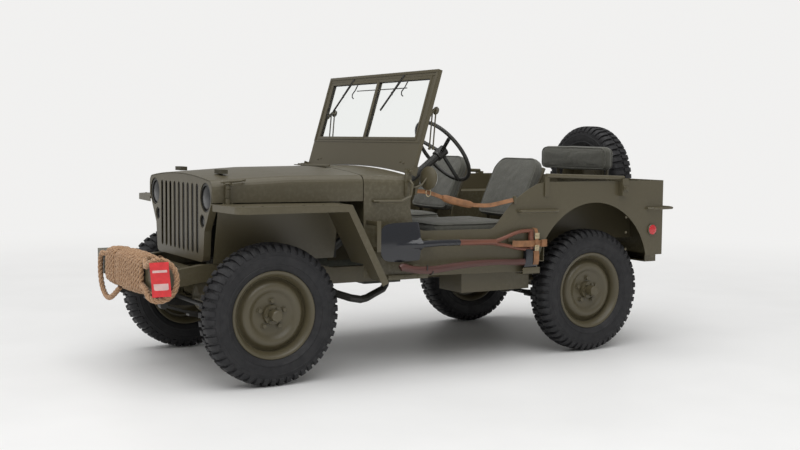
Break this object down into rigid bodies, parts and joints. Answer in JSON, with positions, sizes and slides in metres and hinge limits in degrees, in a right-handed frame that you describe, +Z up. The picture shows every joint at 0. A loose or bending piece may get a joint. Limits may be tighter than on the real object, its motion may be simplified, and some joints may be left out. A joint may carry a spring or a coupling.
{
  "type": "open army four-wheel-drive utility car",
  "caption": "Open four-wheel-drive army utility car with slotted grille, folding windshield, lifting hood, steered front wheels, spare wheel, shovel, axe and bumper rope.",
  "frame": {"origin": "on the floor, midway across the car and midway along its overall length", "axes": "+X to the driver's (left) side, -Y ahead, +Z up"},
  "size_m": [1.575, 3.3723, 1.6193],
  "materials": {
    "olive_paint": "semi-gloss olive drab",
    "dark_metal": "satin black",
    "engine_paint": "grey-green enamel",
    "lamp_metal": "lens over a bright bowl",
    "seat_canvas": "woven canvas",
    "tool_steel": "gloss blue-black",
    "tool_wood": "varnished",
    "rope_fibre": "laid natural fibre",
    "leather": "tan leather strap",
    "tyre_rubber": "matte",
    "reflector_red": "moulded reflector",
    "tag_red": "woven tag",
    "bright_metal": "worn brass and steel",
    "clear_glass": "clear"
  },
  "bodies": {
    "body": {"frame_rails": "olive_paint", "front_bumper": "olive_paint", "rear_hitch": "olive_paint", "front_axle": "olive_paint", "rear_axle": "olive_paint", "springs": "dark_metal", "steering_linkage": "dark_metal", "engine_block": "engine_paint", "gearbox": "engine_paint", "propeller_shafts": "dark_metal", "exhaust": "dark_metal", "radiator": "dark_metal", "grille": "olive_paint", "headlights": "lamp_metal", "marker_lights": "lamp_metal", "fenders": "olive_paint", "cowl": "olive_paint", "floor_pan": "olive_paint", "side_panels": "olive_paint", "rear_panel": "olive_paint", "wheelhouses": "olive_paint", "dashboard": "olive_paint", "fuel_tank": "olive_paint", "steering_column": "dark_metal", "floor_controls": "dark_metal", "seat_frames": "olive_paint", "front_cushions": "seat_canvas", "front_backs": "seat_canvas", "rear_cushion": "seat_canvas", "rear_back": "seat_canvas", "bow_tubes": "olive_paint", "grab_handles": "olive_paint", "spare_rim": "olive_paint", "spare_tyre": "tyre_rubber", "shovel": "tool_steel", "axe": "tool_wood", "rope_winding": "rope_fibre", "rope_loops": "rope_fibre", "tool_brackets": "olive_paint", "rear_seat_frame": "olive_paint", "hinge_brackets": "olive_paint"},
    "hood": {"hood": "olive_paint", "hood_hinge": "olive_paint", "hood_blocks": "tool_wood"},
    "windshield": {"windshield_frame": "olive_paint", "windshield_glass": "clear_glass"},
    "steering_wheel": {"steering_wheel": "dark_metal"},
    "knuckle_left": {"knuckle_left": "olive_paint"},
    "knuckle_right": {"knuckle_right": "olive_paint"},
    "tie_rod": {"tie_rod": "dark_metal"},
    "wheel_front_left": {"rim_front_left": "olive_paint", "tyre_front_left": "tyre_rubber"},
    "wheel_front_right": {"rim_front_right": "olive_paint", "tyre_front_right": "tyre_rubber"},
    "wheel_rear_left": {"rim_rear_left": "olive_paint", "tyre_rear_left": "tyre_rubber"},
    "wheel_rear_right": {"rim_rear_right": "olive_paint", "tyre_rear_right": "tyre_rubber"}
  },
  "joints": [
    {"name": "steering_left", "type": "hinge", "parent": "body", "child": "knuckle_left", "pos_m": [0.52, -1.1235, 0.36], "axis": [0, 0, 1], "range_deg": [-26, 26]},
    {"name": "steering_right", "type": "hinge", "parent": "body", "child": "knuckle_right", "pos_m": [-0.52, -1.1235, 0.36], "axis": [0, 0, 1], "range_deg": [-26, 26]},
    {"name": "tie_rod_pivot", "type": "hinge", "parent": "knuckle_left", "child": "tie_rod", "pos_m": [0.52, -1.2735, 0.345], "axis": [0, 0, 1], "range_deg": [-26, 26]},
    {"name": "steering_wheel_turn", "type": "hinge", "parent": "body", "child": "steering_wheel", "pos_m": [0.35, 0.0725, 1.175], "axis": [0, 0.8, 0.6], "range_deg": [-364, 364]},
    {"name": "hood_lift", "type": "hinge", "parent": "body", "child": "hood", "pos_m": [0, -0.5765, 1.091], "axis": [-1, 0, 0], "range_deg": [0, 125]},
    {"name": "windshield_fold", "type": "hinge", "parent": "body", "child": "windshield", "pos_m": [0, -0.3275, 1.07], "axis": [-1, 0, 0], "range_deg": [-105, 0]},
    {"name": "wheel_front_left_spin", "type": "hinge", "parent": "knuckle_left", "child": "wheel_front_left", "pos_m": [0.6225, -1.1235, 0.36], "axis": [1, 0, 0], "continuous": true},
    {"name": "wheel_rear_left_spin", "type": "hinge", "parent": "body", "child": "wheel_rear_left", "pos_m": [0.6225, 0.9085, 0.36], "axis": [1, 0, 0], "continuous": true},
    {"name": "wheel_front_right_spin", "type": "hinge", "parent": "knuckle_right", "child": "wheel_front_right", "pos_m": [-0.6225, -1.1235, 0.36], "axis": [1, 0, 0], "continuous": true},
    {"name": "wheel_rear_right_spin", "type": "hinge", "parent": "body", "child": "wheel_rear_right", "pos_m": [-0.6225, 0.9085, 0.36], "axis": [1, 0, 0], "continuous": true}
  ],
  "couplings": [
    {"joint": "steering_right", "follows": "steering_left", "ratio": 1},
    {"joint": "tie_rod_pivot", "follows": "steering_left", "ratio": -1},
    {"joint": "steering_wheel_turn", "follows": "steering_left", "ratio": 14}
  ]
}
